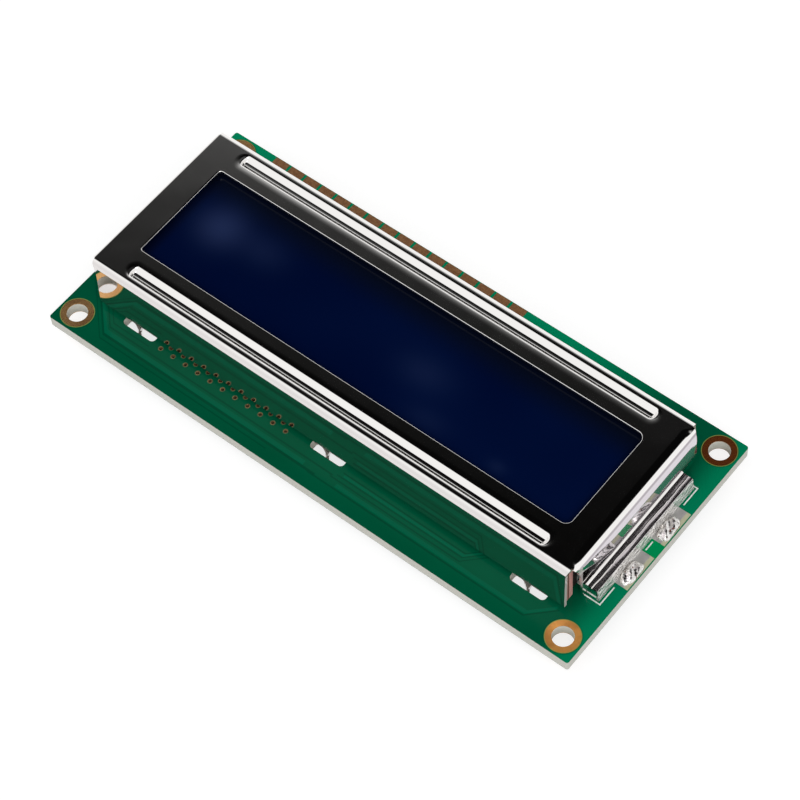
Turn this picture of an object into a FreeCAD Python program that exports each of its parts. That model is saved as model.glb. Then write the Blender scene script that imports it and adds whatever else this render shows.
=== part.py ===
import FreeCAD, Part
import math
import os

# Character display module: a green circuit board that carries a glass display cell on an
# edge-lit backlight, clamped by a polished sheet-metal bezel whose tabs pass through slots
# in the board and are twisted under it. Millimetres, +Z out of the display face, X along
# the long side. The origin is below the centre of the board, level with the tab ends.

# Circuit board
board_length = 80.0
board_width = 36.0
board_thickness = 1.6
board_corner_radius = 0.3
copper_thickness = 0.05

# Mounting holes at the four corners, each with a bare copper ring on both faces
mount_inset = 2.5
mount_hole_diameter = 2.7
mount_ring_width = 0.9

# Header row: plated holes with finger pads that reach the back edge. The first hole is set
# from the left mounting holes
header_count = 16
header_pitch = 2.54
header_first_offset = 5.5
header_row_inset = 2.5
header_hole_diameter = 1.0
header_pad_gap = 0.38
header_pad_inner_reach = 1.4
header_pad_edge = 0.05
plating_thickness = 0.06

# Two staggered rows of small vias in front of the bezel
via_pitch = 2.0
via_front_count = 11
via_back_count = 10
via_hole_diameter = 0.45
via_pad_diameter = 0.85
via_front_offset = 0.57
via_row_spacing = 0.82
via_field_shift = -0.75

# Bezel: one folded sheet with drafted walls, a window and two pressed grooves. Its walls
# are set in from the board's edges, and the window and the grooves from its walls
sheet_thickness = 0.4
bezel_left_inset = 2.85
bezel_right_inset = 3.85
bezel_side_inset = 5.25
bezel_foot_gap = 0.85
bezel_height = 8.6
bezel_draft = 1.7
bend_radius = 0.85
corner_gap = 2.65
corner_gap_radius = 1.1
corner_gap_rise = 0.5
front_wall_left_inset = 0.8
front_wall_right_inset = 0.5
front_wall_lean = 0.6
corner_slit = 0.15
corner_slit_inset = 0.5
window_left_margin = 4.55
window_right_margin = 4.0
window_side_margin = 5.23
window_right_radius = 1.0
window_left_radius = 0.45
groove_end_inset = 0.45
groove_side_inset = 2.32
groove_width = 1.95
groove_depth = 0.7

# Twisted tabs and the board slots that they pass through
tab_count = 3
tab_pitch = 30.0
tab_shift = 0.15
tab_neck_width = 1.45
tab_head_width = 3.6
tab_drop = 2.0
tab_twist = -45.0
tab_twist_length = 1.0
tab_twist_steps = 6
slot_shift = 0.3
slot_end_room = 0.75
slot_rounding = 0.6
slot_front_room = 0.5
slot_back_room = 0.9

# Display cell: two glasses, a seal, liquid crystal and two polarizers
glass_thickness = 1.1
cell_gap = 0.1
seal_width = 1.0
polarizer_thickness = 0.15
polarizer_margin_x = 1.2
polarizer_margin_y = 0.8
glass_clearance = 0.35
rear_glass_inset = 0.5

# Elastomer connectors between the board and the front glass
zebra_width = 1.3
zebra_core_width = 0.3
zebra_outer_skin = 0.3
zebra_clearance = 0.06
zebra_end_inset = 0.1

# Backlight: tray, reflector, light guide and diffuser
tray_floor = 0.3
tray_wall = 1.0
tray_clearance = 0.1
reflector_thickness = 0.15
diffuser_thickness = 0.2
pocket_clearance = 0.1

# Light bar at the right end, with its cover outside the bezel
led_board_side_room = 0.25
led_board_thickness = 0.4
led_board_end_room = 0.5
led_count = 4
led_end_margin = 0.9
led_depth = 1.0
led_width = 3.0
led_height = 1.2
cover_side_room = 0.45
cover_height = 2.05
cover_reach = 1.65
cover_wall = 0.2
cover_top_radius = 0.35
cover_clearance = 0.05
light_notch_clearance = 0.15

# Backlight pads, terminals and solder joints on the right edge
pad_length = 5.3
pad_gap = 2.0
pad_edge = 0.15
terminal_width = 1.2
terminal_thickness = 0.15
terminal_reach = 1.2
terminal_shift = -0.55
solder_radius = 1.35
solder_height = 0.75

# White printed outline around the light bar
print_thickness = 0.03
print_line = 0.16
print_offset = 0.65
print_pad_gap = 0.57
print_middle_length = 1.4

# Back face: two chips under black resin drops, resistors and capacitors
blob_diameter = 14.0
blob_height = 1.5
blob_spacing = 32.0
die_size = 4.2
die_thickness = 0.45
chip_length = 2.0
chip_width = 1.25
chip_end = 0.35
chip_pad_margin = 0.25
resistor_height = 0.5
resistor_count = 6
resistor_pitch = 3.2
resistor_row_gap = 1.6
capacitor_height = 0.85
capacitor_count = 2
capacitor_pitch = 3.6
capacitor_row_gap = 4.5

V = FreeCAD.Vector
UP = V(0, 0, 1)
SIDES = (-1, 1)

# Heights above the origin
board_bottom = tab_drop
board_top = board_bottom + board_thickness
bezel_foot = board_top + bezel_foot_gap
bezel_top = board_top + bezel_height
sheet_underside = bezel_top - sheet_thickness
front_glass_top = sheet_underside - groove_depth
front_glass_bottom = front_glass_top - glass_thickness
rear_glass_top = front_glass_bottom - cell_gap
rear_glass_bottom = rear_glass_top - glass_thickness
rear_polarizer_bottom = rear_glass_bottom - polarizer_thickness
diffuser_bottom = rear_polarizer_bottom - diffuser_thickness
reflector_bottom = board_top + tray_floor
guide_bottom = reflector_bottom + reflector_thickness

# Half sizes in plan
draft_tangent = math.tan(math.radians(bezel_draft))
board_half_x = board_length / 2
board_half_y = board_width / 2
bezel_x0 = -board_half_x + bezel_left_inset
bezel_x1 = board_half_x - bezel_right_inset
bezel_shift = (bezel_x0 + bezel_x1) / 2
bezel_half_x = (bezel_x1 - bezel_x0) / 2
bezel_half_y = board_half_y - bezel_side_inset
window_x0 = bezel_x0 + window_left_margin
window_x1 = bezel_x1 - window_right_margin
window_shift = (window_x0 + window_x1) / 2
window_half_x = (window_x1 - window_x0) / 2
window_half_y = bezel_half_y - window_side_margin
groove_half_x = window_half_x - groove_end_inset
groove_y = bezel_half_y - groove_side_inset


def wall_inset(z):
    """Inward lean of the bezel walls at height z, measured from their foot."""
    return draft_tangent * (z - bezel_foot)


inner_y_at_glass = bezel_half_y - sheet_thickness - wall_inset(front_glass_top)
inner_x_at_glass = bezel_half_x - sheet_thickness - wall_inset(front_glass_top)
front_glass_half_y = inner_y_at_glass - glass_clearance
front_glass_half_x = inner_x_at_glass - glass_clearance
zebra_outer_y = front_glass_half_y - zebra_clearance
zebra_inner_y = zebra_outer_y - zebra_width
zebra_half_x = front_glass_half_x - zebra_end_inset
tray_half_y = zebra_inner_y - tray_clearance
tray_half_x = zebra_half_x - rear_glass_inset
pocket_half_x = tray_half_x - tray_wall
pocket_half_y = tray_half_y - tray_wall
fill_half_x = pocket_half_x - pocket_clearance
fill_half_y = pocket_half_y - pocket_clearance


def block(x0, x1, y0, y1, z0, z1):
    """Rectangular block between two opposite corners."""
    return Part.makeBox(x1 - x0, y1 - y0, z1 - z0, V(x0, y0, z0))


def centred(half_x, half_y, z0, z1, cx=0.0, cy=0.0):
    """Rectangular block centred in plan on cx, cy."""
    return block(cx - half_x, cx + half_x, cy - half_y, cy + half_y, z0, z1)


def upright_edges(solid, side=0):
    """Upright edges of a block, or only those on the side of its middle that has this sign."""
    middle = solid.BoundBox.Center.x
    edges = [e for e in solid.Edges if abs(e.tangentAt(e.FirstParameter).z) > 0.9]
    return [e for e in edges if side * (e.BoundBox.Center.x - middle) >= 0]


def rounded(half_x, half_y, radius, z0, z1, cx=0.0, cy=0.0):
    """Block with its four upright edges rounded."""
    solid = centred(half_x, half_y, z0, z1, cx, cy)
    return solid.makeFillet(radius, upright_edges(solid))


def drum(diameter, x, y, z0, z1):
    """Upright cylinder."""
    return Part.makeCylinder(diameter / 2, z1 - z0, V(x, y, z0), UP)


def rectangle_wire(half_x, half_y, z, cx=0.0, cy=0.0, turn=0.0):
    """Closed rectangle at height z, turned about its own centre."""
    angle = math.radians(turn)
    points = []
    for sx, sy in ((-1, -1), (1, -1), (1, 1), (-1, 1)):
        px = sx * half_x * math.cos(angle) - sy * half_y * math.sin(angle)
        py = sx * half_x * math.sin(angle) + sy * half_y * math.cos(angle)
        points.append(V(cx + px, cy + py, z))
    return Part.makePolygon(points + points[:1])


def save(name, solids):
    """Write one sub-part as a STEP file and report its solids."""
    shape = solids[0] if len(solids) == 1 else Part.makeCompound(solids)
    assert shape.isValid(), name
    assert all(s.Volume > 0 for s in shape.Solids), name
    shape.exportStep(os.path.join("parts", name + ".step"))
    print(name, len(shape.Solids), round(sum(s.Volume for s in shape.Solids), 3))


os.makedirs("parts", exist_ok=True)

# Positions that several pieces share
mount_x = board_half_x - mount_inset
mount_y = board_half_y - mount_inset
mount_points = [(sx * mount_x, sy * mount_y) for sx in SIDES for sy in SIDES]
header_y = board_half_y - header_row_inset
header_points = [
    (-mount_x + header_first_offset + i * header_pitch, header_y)
    for i in range(header_count)
]
tab_xs = [tab_shift + (i - (tab_count - 1) / 2) * tab_pitch for i in range(tab_count)]
tab_wall_y = bezel_half_y - sheet_thickness / 2
via_centre_x = (tab_xs[0] + tab_xs[1]) / 2 + via_field_shift
via_front_y = -bezel_half_y - via_front_offset
via_points = [
    (via_centre_x + (i - (via_front_count - 1) / 2) * via_pitch, via_front_y)
    for i in range(via_front_count)
] + [
    (via_centre_x + (i - (via_back_count - 1) / 2) * via_pitch, via_front_y + via_row_spacing)
    for i in range(via_back_count)
]

# Circuit board with mounting, header and via holes and one slot for each bezel tab
slot_y0 = bezel_half_y - sheet_thickness - slot_back_room
slot_y1 = bezel_half_y + slot_front_room
slot_half_y = (slot_y1 - slot_y0) / 2
slot_mid_y = (slot_y1 + slot_y0) / 2
slot_half_x = tab_head_width / 2 + slot_end_room
slot_round = slot_half_y * slot_rounding
board = rounded(board_half_x, board_half_y, board_corner_radius, board_bottom, board_top)
cutters = [drum(mount_hole_diameter, x, y, board_bottom, board_top) for x, y in mount_points]
header_drill = header_hole_diameter + 2 * plating_thickness
cutters += [drum(header_drill, x, y, board_bottom, board_top) for x, y in header_points]
via_drill = via_hole_diameter + 2 * plating_thickness
cutters += [drum(via_drill, x, y, board_bottom, board_top) for x, y in via_points]
for tab_x in tab_xs:
    for side in SIDES:
        cutters.append(rounded(slot_half_x, slot_half_y, slot_round, board_bottom,
                               board_top, tab_x + slot_shift, side * slot_mid_y))
board = board.cut(cutters)
save("circuit_board", [board])

# Copper rings around the mounting holes, on both faces
ring_diameter = mount_hole_diameter + 2 * mount_ring_width
rings = []
for x, y in mount_points:
    for z in (board_top, board_bottom - copper_thickness):
        ring = drum(ring_diameter, x, y, z, z + copper_thickness)
        rings.append(ring.cut(drum(mount_hole_diameter, x, y, z, z + copper_thickness)))
save("mounting_hole_rings", rings)

# Header pads: a finger on each face, joined by the plated wall of the hole
pad_half_x = (header_pitch - header_pad_gap) / 2
finger_y1 = board_half_y - header_pad_edge
finger_y0 = header_y - header_pad_inner_reach
header_pads = []
for x, y in header_points:
    top = block(x - pad_half_x, x + pad_half_x, finger_y0, finger_y1,
                board_top, board_top + copper_thickness)
    low = block(x - pad_half_x, x + pad_half_x, finger_y0, finger_y1,
                board_bottom - copper_thickness, board_bottom)
    barrel = drum(header_drill, x, y, board_bottom, board_top)
    pad = top.fuse([barrel, low])
    header_pads.append(pad.cut(drum(header_hole_diameter, x, y,
                                    board_bottom - copper_thickness,
                                    board_top + copper_thickness)))
save("header_pads", header_pads)

# Vias: a plated wall with a small ring on each face
vias = []
for x, y in via_points:
    low = drum(via_pad_diameter, x, y, board_bottom - copper_thickness, board_bottom)
    top = drum(via_pad_diameter, x, y, board_top, board_top + copper_thickness)
    via = drum(via_drill, x, y, board_bottom, board_top).fuse([low, top])
    vias.append(via.cut(drum(via_hole_diameter, x, y, board_bottom - copper_thickness,
                             board_top + copper_thickness)))
save("vias", vias)


def drafted_shell(offset, top, radius):
    """Drafted block, set in by offset, with the four upper edges bent to radius."""
    inset = wall_inset(top)
    foot = rectangle_wire(bezel_half_x - offset, bezel_half_y - offset, bezel_foot,
                          bezel_shift)
    head = rectangle_wire(bezel_half_x - offset - inset, bezel_half_y - offset - inset, top,
                          bezel_shift)
    solid = Part.makeLoft([foot, head], True, True)
    rim = [e for e in solid.Edges
           if e.BoundBox.ZMin > top - 0.01 and e.BoundBox.ZLength < 0.01]
    return solid.makeFillet(radius, rim)


def capsule(radius, z, y):
    """Round bar with ball ends, lying along X with its axis at height z."""
    reach = groove_half_x - groove_width / 2
    bar = Part.makeCylinder(radius, 2 * reach, V(window_shift - reach, y, z), V(1, 0, 0))
    balls = [Part.makeSphere(radius, V(window_shift + s * reach, y, z)) for s in SIDES]
    return bar.fuse(balls)


def twisted_tab(x, y):
    """Tab that turns in its neck through the board and ends in a wider head under it."""
    half_t = sheet_thickness / 2
    twist_end = bezel_foot - tab_twist_length
    wires = []
    for i in range(tab_twist_steps + 1):
        share = i / tab_twist_steps
        wires.append(rectangle_wire(tab_neck_width / 2, half_t,
                                    bezel_foot - share * tab_twist_length,
                                    x, y, tab_twist * share))
    twist = Part.makeLoft(wires, True, True)
    section = Part.Face(rectangle_wire(tab_neck_width / 2, half_t, board_bottom, x, y,
                                       tab_twist))
    neck = section.extrude(V(0, 0, twist_end - board_bottom))
    root = centred(tab_neck_width / 2, half_t, bezel_foot, bezel_foot + sheet_thickness, x, y)
    face = Part.Face(rectangle_wire(tab_head_width / 2, half_t, board_bottom, x, y, tab_twist))
    head = face.extrude(V(0, 0, -tab_drop))
    return [root, twist, neck, head]


# Bezel: drafted shell, less the window, the corner reliefs and the light-bar notch
groove_radius = (groove_width ** 2 / 4 + groove_depth ** 2) / (2 * groove_depth)
groove_axis_z = bezel_top - groove_depth + groove_radius
envelope = drafted_shell(0.0, bezel_top, bend_radius)
bezel = envelope.cut(drafted_shell(sheet_thickness, sheet_underside,
                                   bend_radius - sheet_thickness))
for side in SIDES:
    bead = capsule(groove_radius + sheet_thickness, groove_axis_z, side * groove_y)
    bezel = bezel.fuse(bead.common(envelope))
for side in SIDES:
    bezel = bezel.cut(capsule(groove_radius, groove_axis_z, side * groove_y))
window = centred(window_half_x, window_half_y, front_glass_top, bezel_top,
                 window_shift)
window = window.makeFillet(window_right_radius, upright_edges(window, 1))
window = window.makeFillet(window_left_radius, upright_edges(window, -1)[:2])
bezel = bezel.cut(window)

# The short walls stop short of the front corners under a rounded relief, the ends of the
# long front wall lean in, and a slit parts the walls at the back corners
bend_start = bezel_top - bend_radius
front_inner = -bezel_half_y + sheet_thickness + wall_inset(bend_start)
front_outer = -bezel_half_y - sheet_thickness
for side in SIDES:
    x_in = bezel_x1 - front_wall_right_inset if side > 0 else bezel_x0 + front_wall_left_inset
    x_out = bezel_shift + side * (bezel_half_x + sheet_thickness)
    lo, hi = min(x_in, x_out), max(x_in, x_out)
    relief_top = bend_start + corner_gap_rise
    relief = block(lo, hi, front_outer, -bezel_half_y + corner_gap, bezel_foot, relief_top)
    crest = [e for e in relief.Edges if e.BoundBox.YMin > -bezel_half_y + corner_gap - 0.01
             and e.BoundBox.ZMin > relief_top - 0.01]
    bezel = bezel.cut(relief.makeFillet(corner_gap_radius, crest))
    lean_points = [V(x_in, front_outer, bezel_foot), V(x_out, front_outer, bezel_foot),
                   V(x_out, front_outer, bend_start),
                   V(x_in - side * front_wall_lean, front_outer, bend_start)]
    lean = Part.Face(Part.makePolygon(lean_points + lean_points[:1]))
    bezel = bezel.cut(lean.extrude(V(0, front_inner - front_outer, 0)))
    slit_out = bezel_shift + side * (bezel_half_x - corner_slit_inset)
    slit_in = slit_out - side * corner_slit
    bezel = bezel.cut(block(min(slit_in, slit_out), max(slit_in, slit_out),
                            bezel_half_y - sheet_thickness - wall_inset(bend_start),
                            bezel_half_y + sheet_thickness, bezel_foot, bend_start))
led_board_half = fill_half_y - led_board_side_room
notch_top = board_top + led_board_thickness + led_height + light_notch_clearance
bezel = bezel.cut(block(bezel_x1 - 3 * sheet_thickness, bezel_x1 + sheet_thickness,
                        -led_board_half - light_notch_clearance,
                        led_board_half + light_notch_clearance, bezel_foot, notch_top))
tabs = []
for tab_x in tab_xs:
    for side in SIDES:
        tabs += twisted_tab(tab_x, side * tab_wall_y)
bezel = bezel.fuse(tabs).removeSplitter()
save("bezel", [bezel])

# Display cell. The grooves of the bezel press on the edges of the front glass, and the
# front glass overhangs the rear one, where the elastomer connectors meet it from below
front_polarizer_half_x = window_half_x + polarizer_margin_x
front_polarizer_half_y = window_half_y + polarizer_margin_y
rear_glass_half_x = front_glass_half_x - rear_glass_inset
save("front_polarizer", [centred(front_polarizer_half_x, front_polarizer_half_y,
                                 front_glass_top, front_glass_top + polarizer_thickness,
                                 window_shift)])
save("front_glass", [centred(front_glass_half_x, front_glass_half_y, front_glass_bottom,
                             front_glass_top, bezel_shift)])
cell = centred(rear_glass_half_x, tray_half_y, rear_glass_top, front_glass_bottom,
               bezel_shift)
crystal = centred(rear_glass_half_x - seal_width, tray_half_y - seal_width, rear_glass_top,
                  front_glass_bottom, bezel_shift)
save("cell_seal", [cell.cut(crystal)])
save("liquid_crystal", [crystal])
save("rear_glass", [centred(rear_glass_half_x, tray_half_y, rear_glass_bottom,
                            rear_glass_top, bezel_shift)])
save("rear_polarizer", [centred(fill_half_x, fill_half_y, rear_polarizer_bottom,
                                rear_glass_bottom, bezel_shift)])

# Elastomer connectors: a dark conducting core between two soft pink sides
skins = []
cores = []
for side in SIDES:
    marks = [zebra_outer_y, zebra_outer_y - zebra_outer_skin,
             zebra_outer_y - zebra_outer_skin - zebra_core_width, zebra_inner_y]
    strips = [centred(zebra_half_x, (a - b) / 2, board_top, front_glass_bottom,
                      bezel_shift, side * (a + b) / 2) for a, b in zip(marks, marks[1:])]
    skins += [strips[0], strips[2]]
    cores.append(strips[1])
save("zebra_sides", skins)
save("zebra_cores", cores)

# Backlight tray with a gap in its right wall for the light
light_gap_half = led_board_half
tray = centred(tray_half_x, tray_half_y, board_top, rear_polarizer_bottom, bezel_shift)
tray = tray.cut(centred(pocket_half_x, pocket_half_y, reflector_bottom,
                        rear_polarizer_bottom, bezel_shift))
tray = tray.cut(block(bezel_shift + pocket_half_x, bezel_shift + tray_half_x,
                      -light_gap_half, light_gap_half, reflector_bottom, notch_top))
save("backlight_tray", [tray])
save("reflector_sheet", [centred(fill_half_x, fill_half_y, reflector_bottom, guide_bottom,
                                 bezel_shift)])
guide = centred(fill_half_x, fill_half_y, guide_bottom, diffuser_bottom, bezel_shift)
lip_half_y = light_gap_half - pocket_clearance
lip = block(bezel_shift, bezel_shift + tray_half_x, -lip_half_y, lip_half_y,
            guide_bottom, notch_top - pocket_clearance)
save("light_guide", [guide.fuse(lip).removeSplitter()])
save("diffuser_sheet", [centred(fill_half_x, fill_half_y, diffuser_bottom,
                                rear_polarizer_bottom, bezel_shift)])

# Light bar: a narrow board with side-firing lamps, under a folded bright cover
led_x0 = bezel_shift + tray_half_x + pocket_clearance
cover_x0 = bezel_x1 + cover_clearance
cover_x1 = cover_x0 + cover_reach
led_board_x1 = cover_x1 - cover_wall - led_board_end_room
led_board_top = board_top + led_board_thickness
save("led_board", [block(led_x0, led_board_x1, -led_board_half, led_board_half, board_top,
                         led_board_top)])
led_row_half = led_board_half - led_end_margin - led_width / 2
led_pitch = 2 * led_row_half / (led_count - 1)
led_ys = [i * led_pitch - led_row_half for i in range(led_count)]
save("leds", [block(led_x0, led_x0 + led_depth, y - led_width / 2, y + led_width / 2,
                    led_board_top, led_board_top + led_height) for y in led_ys])
cover_half_y = led_board_half + cover_side_room
cover = block(cover_x0, cover_x1, -cover_half_y, cover_half_y, board_top,
              board_top + cover_height)
ridge = [e for e in cover.Edges if e.BoundBox.XMin > cover_x1 - 0.01
         and e.BoundBox.ZMin > board_top + cover_height - 0.01]
cover = cover.makeFillet(cover_top_radius, ridge)
cover = cover.cut(block(cover_x0, cover_x1 - cover_wall, -cover_half_y + cover_wall,
                        cover_half_y - cover_wall, board_top,
                        board_top + cover_height - cover_wall))
terminal_ys = [terminal_shift + s * (pad_gap + pad_length) / 2 for s in SIDES]
terminal_z0 = board_top + copper_thickness
terminal_z1 = terminal_z0 + terminal_thickness
for y in terminal_ys:
    cover = cover.cut(block(cover_x0, cover_x1, y - terminal_width / 2 - cover_clearance,
                            y + terminal_width / 2 + cover_clearance, board_top,
                            terminal_z1 + cover_clearance))
save("light_bar_cover", [cover])

# Tinned pads on the right edge, the two flat terminals and their solder joints
pad_x0 = cover_x1 + cover_clearance
pad_x1 = board_half_x - pad_edge
pads = [block(pad_x0, pad_x1, min(s * pad_gap / 2, s * (pad_gap / 2 + pad_length)),
              max(s * pad_gap / 2, s * (pad_gap / 2 + pad_length)),
              board_top, board_top + copper_thickness) for s in SIDES]
save("backlight_pads", pads)
terminals = [block(led_board_x1, pad_x0 + terminal_reach, y - terminal_width / 2,
                   y + terminal_width / 2, terminal_z0, terminal_z1) for y in terminal_ys]
save("backlight_terminals", terminals)
solder = []
solder_x = (pad_x0 + pad_x1) / 2
half_pad = (pad_x1 - pad_x0) / 2
for y, terminal in zip(terminal_ys, terminals):
    ball_radius = (solder_radius ** 2 + solder_height ** 2) / (2 * solder_height)
    ball = Part.makeSphere(ball_radius, V(solder_x, y, terminal_z0 + solder_height
                                          - ball_radius))
    trim = centred(half_pad, solder_radius, terminal_z0, terminal_z0 + solder_height,
                   solder_x, y)
    solder.append(ball.common(trim).cut(terminal))
save("solder_joints", solder)

# White printed outline: two corner marks and a short line between the pads
print_z1 = board_top + print_thickness
print_x = cover_x1 + print_offset
print_y = cover_half_y + print_line
lines = []
for side in SIDES:
    across = block(cover_x0, print_x, min(side * print_y, side * (print_y + print_line)),
                   max(side * print_y, side * (print_y + print_line)), board_top, print_z1)
    ends = sorted((side * (print_y + print_line),
                   side * (pad_gap / 2 + pad_length + print_pad_gap)))
    along = block(print_x - print_line, print_x, ends[0], ends[1], board_top, print_z1)
    lines.append(across.fuse(along).removeSplitter())
lines.append(block(print_x - print_line, print_x, -print_middle_length / 2,
                   print_middle_length / 2, board_top, print_z1))
save("printed_outline", lines)

# Back face: two chips sealed under resin drops
blob_radius = blob_diameter / 2
blob_ball = (blob_radius ** 2 + blob_height ** 2) / (2 * blob_height)
blobs = []
dies = []
for side in SIDES:
    x = side * blob_spacing / 2
    die = centred(die_size / 2, die_size / 2, board_bottom - die_thickness, board_bottom, x)
    ball = Part.makeSphere(blob_ball, V(x, 0, board_bottom - blob_height + blob_ball))
    under = centred(blob_diameter, blob_diameter, board_bottom - 2 * blob_height,
                    board_bottom, x)
    blobs.append(ball.common(under).cut(die))
    dies.append(die)
save("resin_drops", blobs)
save("chip_dies", dies)


def chip_pieces(x, y, height):
    """Body, two metal ends and two pads of a part that lies along X under the board."""
    z1 = board_bottom - copper_thickness
    z0 = z1 - height
    half_y = chip_width / 2
    body_half = chip_length / 2 - chip_end
    body = block(x - body_half, x + body_half, y - half_y, y + half_y, z0, z1)
    ends = []
    lands = []
    for side in SIDES:
        span = sorted((x + side * body_half, x + side * chip_length / 2))
        ends.append(block(span[0], span[1], y - half_y, y + half_y, z0, z1))
        reach = sorted((x + side * body_half, x + side * (chip_length / 2 + chip_pad_margin)))
        lands.append(block(reach[0], reach[1], y - half_y, y + half_y, z1, board_bottom))
    return body, ends, lands


# Chip resistors in a row in front of the drops and chip capacitors to the right of them
resistor_row_y = -blob_radius - resistor_row_gap
capacitor_row_x = blob_spacing / 2 + blob_radius + capacitor_row_gap
resistors = []
capacitors = []
metal_ends = []
lands = []
for i in range(resistor_count):
    x = (i - (resistor_count - 1) / 2) * resistor_pitch
    body, ends, pads = chip_pieces(x, resistor_row_y, resistor_height)
    resistors.append(body)
    metal_ends += ends
    lands += pads
for i in range(capacitor_count):
    y = (i - (capacitor_count - 1) / 2) * capacitor_pitch
    body, ends, pads = chip_pieces(capacitor_row_x, y, capacitor_height)
    capacitors.append(body)
    metal_ends += ends
    lands += pads
save("chip_resistors", resistors)
save("chip_capacitors", capacitors)
save("chip_metal_ends", metal_ends)
save("chip_pads", lands)
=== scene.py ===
import math

import bmesh
import bpy
import numpy as np
from mathutils import Matrix, Vector
from mathutils.geometry import tessellate_polygon


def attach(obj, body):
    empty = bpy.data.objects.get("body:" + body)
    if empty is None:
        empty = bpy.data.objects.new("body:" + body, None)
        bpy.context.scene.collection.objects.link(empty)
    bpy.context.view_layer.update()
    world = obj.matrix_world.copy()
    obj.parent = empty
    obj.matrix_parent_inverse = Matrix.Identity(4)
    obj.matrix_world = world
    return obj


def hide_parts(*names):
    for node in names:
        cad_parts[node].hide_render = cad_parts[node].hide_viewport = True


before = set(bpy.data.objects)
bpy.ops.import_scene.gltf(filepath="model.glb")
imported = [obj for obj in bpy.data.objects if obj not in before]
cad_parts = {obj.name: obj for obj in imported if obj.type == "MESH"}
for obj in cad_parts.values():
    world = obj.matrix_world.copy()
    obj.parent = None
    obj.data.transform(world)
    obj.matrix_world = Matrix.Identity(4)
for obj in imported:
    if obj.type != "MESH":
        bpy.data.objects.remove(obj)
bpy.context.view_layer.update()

# Camera: stands well above the front right corner of the module and looks down on the
# display through a long lens, so that the long edges hardly converge.
lens_focus = 122.64
camera_place = Vector((123.953, -132.355, 279.968)) / 1000
camera_right = Vector((0.78140, 0.62214, -0.04861))
camera_down = Vector((0.50338, -0.67445, -0.54012))
camera_look = Vector((-0.36881, 0.39758, -0.84018))

scene = bpy.context.scene
camera_data = bpy.data.cameras.new("studio_camera")
camera_data.lens = lens_focus
camera_data.sensor_width = 36.0
camera_data.clip_start = 0.01
camera_data.clip_end = 20.0
camera = bpy.data.objects.new("studio_camera", camera_data)
turn = Matrix((camera_right, -camera_down, -camera_look)).transposed()
camera.matrix_world = Matrix.Translation(camera_place) @ turn.to_4x4()
scene.collection.objects.link(camera)
scene.camera = camera
scene.view_settings.view_transform = "Standard"


# Studio light: a white tent with a dark canopy over its far side, which is what the
# polished bezel shows on its flat face, and one large soft lamp at the front right.
tent_lowest = 0.05
canopy_rim = (0.60, 0.66)
canopy_edge = (-0.15, 0.16)
canopy_tones = (0.0022, 0.0080, 0.42)
mirrored_side = -0.463
mirrored_back = 0.4626
gain_side = -7.5
gain_back = 15.0
lamp_place = Vector((0.45, -0.35, 0.62))
lamp_width = 0.5
lamp_power = 1.6


def put(tree, socket, value):
    """Links a shader socket to another node's output, or sets it to a constant."""
    if isinstance(value, bpy.types.NodeSocket):
        tree.links.new(value, socket)
    else:
        socket.default_value = value


def step(tree, operation, *values):
    """One arithmetic step of a shader, such as ADD, MULTIPLY, ABSOLUTE or MAXIMUM."""
    node = tree.nodes.new("ShaderNodeMath")
    node.operation = operation
    for socket, value in zip(node.inputs, values):
        put(tree, socket, value)
    return node.outputs[0]


def ramp(tree, value, low, high, start=0.0, end=1.0):
    """Goes smoothly from start at low to end at high, and stays there."""
    node = tree.nodes.new("ShaderNodeMapRange")
    node.interpolation_type = "SMOOTHSTEP"
    for name, entry in (("Value", value), ("From Min", low), ("From Max", high),
                        ("To Min", start), ("To Max", end)):
        put(tree, node.inputs[name], entry)
    return node.outputs["Result"]


world = bpy.data.worlds.new("light_tent")
scene.world = world
world.use_nodes = True
tent = world.node_tree
tent.nodes.clear()
tent_direction = tent.nodes.new("ShaderNodeTexCoord")
tent_axes = tent.nodes.new("ShaderNodeSeparateXYZ")
tent.links.new(tent_direction.outputs["Generated"], tent_axes.inputs[0])
tent_x, tent_y, tent_z = tent_axes.outputs
height = step(tent, "MAXIMUM", tent_z, tent_lowest)
back_slope = step(tent, "DIVIDE", tent_y, height)
side_slope = step(tent, "DIVIDE", tent_x, height)
canopy = step(tent, "MULTIPLY", ramp(tent, tent_z, *canopy_rim),
              ramp(tent, back_slope, *canopy_edge))
# The canopy's tone grows exponentially from where the camera sees the flat's middle mirrored
grade_side = step(tent, "MULTIPLY", step(tent, "SUBTRACT", side_slope, mirrored_side), gain_side)
grade_back = step(tent, "MULTIPLY", step(tent, "SUBTRACT", back_slope, mirrored_back), gain_back)
growth = step(tent, "EXPONENT", step(tent, "ADD", grade_side, grade_back))
tone_lowest, tone_middle, tone_highest = canopy_tones
canopy_tone = step(tent, "MINIMUM", step(tent, "MULTIPLY", tone_middle, growth), tone_highest)
canopy_tone = step(tent, "MAXIMUM", canopy_tone, tone_lowest)
tent_tone = step(tent, "ADD", 1.0,
                 step(tent, "MULTIPLY", canopy, step(tent, "SUBTRACT", canopy_tone, 1.0)))
tent_rays = tent.nodes.new("ShaderNodeLightPath")
tent_light = tent.nodes.new("ShaderNodeBackground")
tent_light.inputs["Color"].default_value = (1.0, 1.0, 1.0, 1.0)
put(tent, tent_light.inputs["Strength"],
    step(tent, "MAXIMUM", tent_tone, tent_rays.outputs["Is Camera Ray"]))
tent_output = tent.nodes.new("ShaderNodeOutputWorld")
tent.links.new(tent_light.outputs[0], tent_output.inputs["Surface"])

soft_lamp_data = bpy.data.lights.new("soft_lamp", "AREA")
soft_lamp_data.shape = "DISK"
soft_lamp_data.size = lamp_width
soft_lamp_data.energy = lamp_power
soft_lamp = bpy.data.objects.new("soft_lamp", soft_lamp_data)
soft_lamp.location = lamp_place
soft_lamp.rotation_euler = (-lamp_place).to_track_quat("-Z", "Y").to_euler()
scene.collection.objects.link(soft_lamp)


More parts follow.
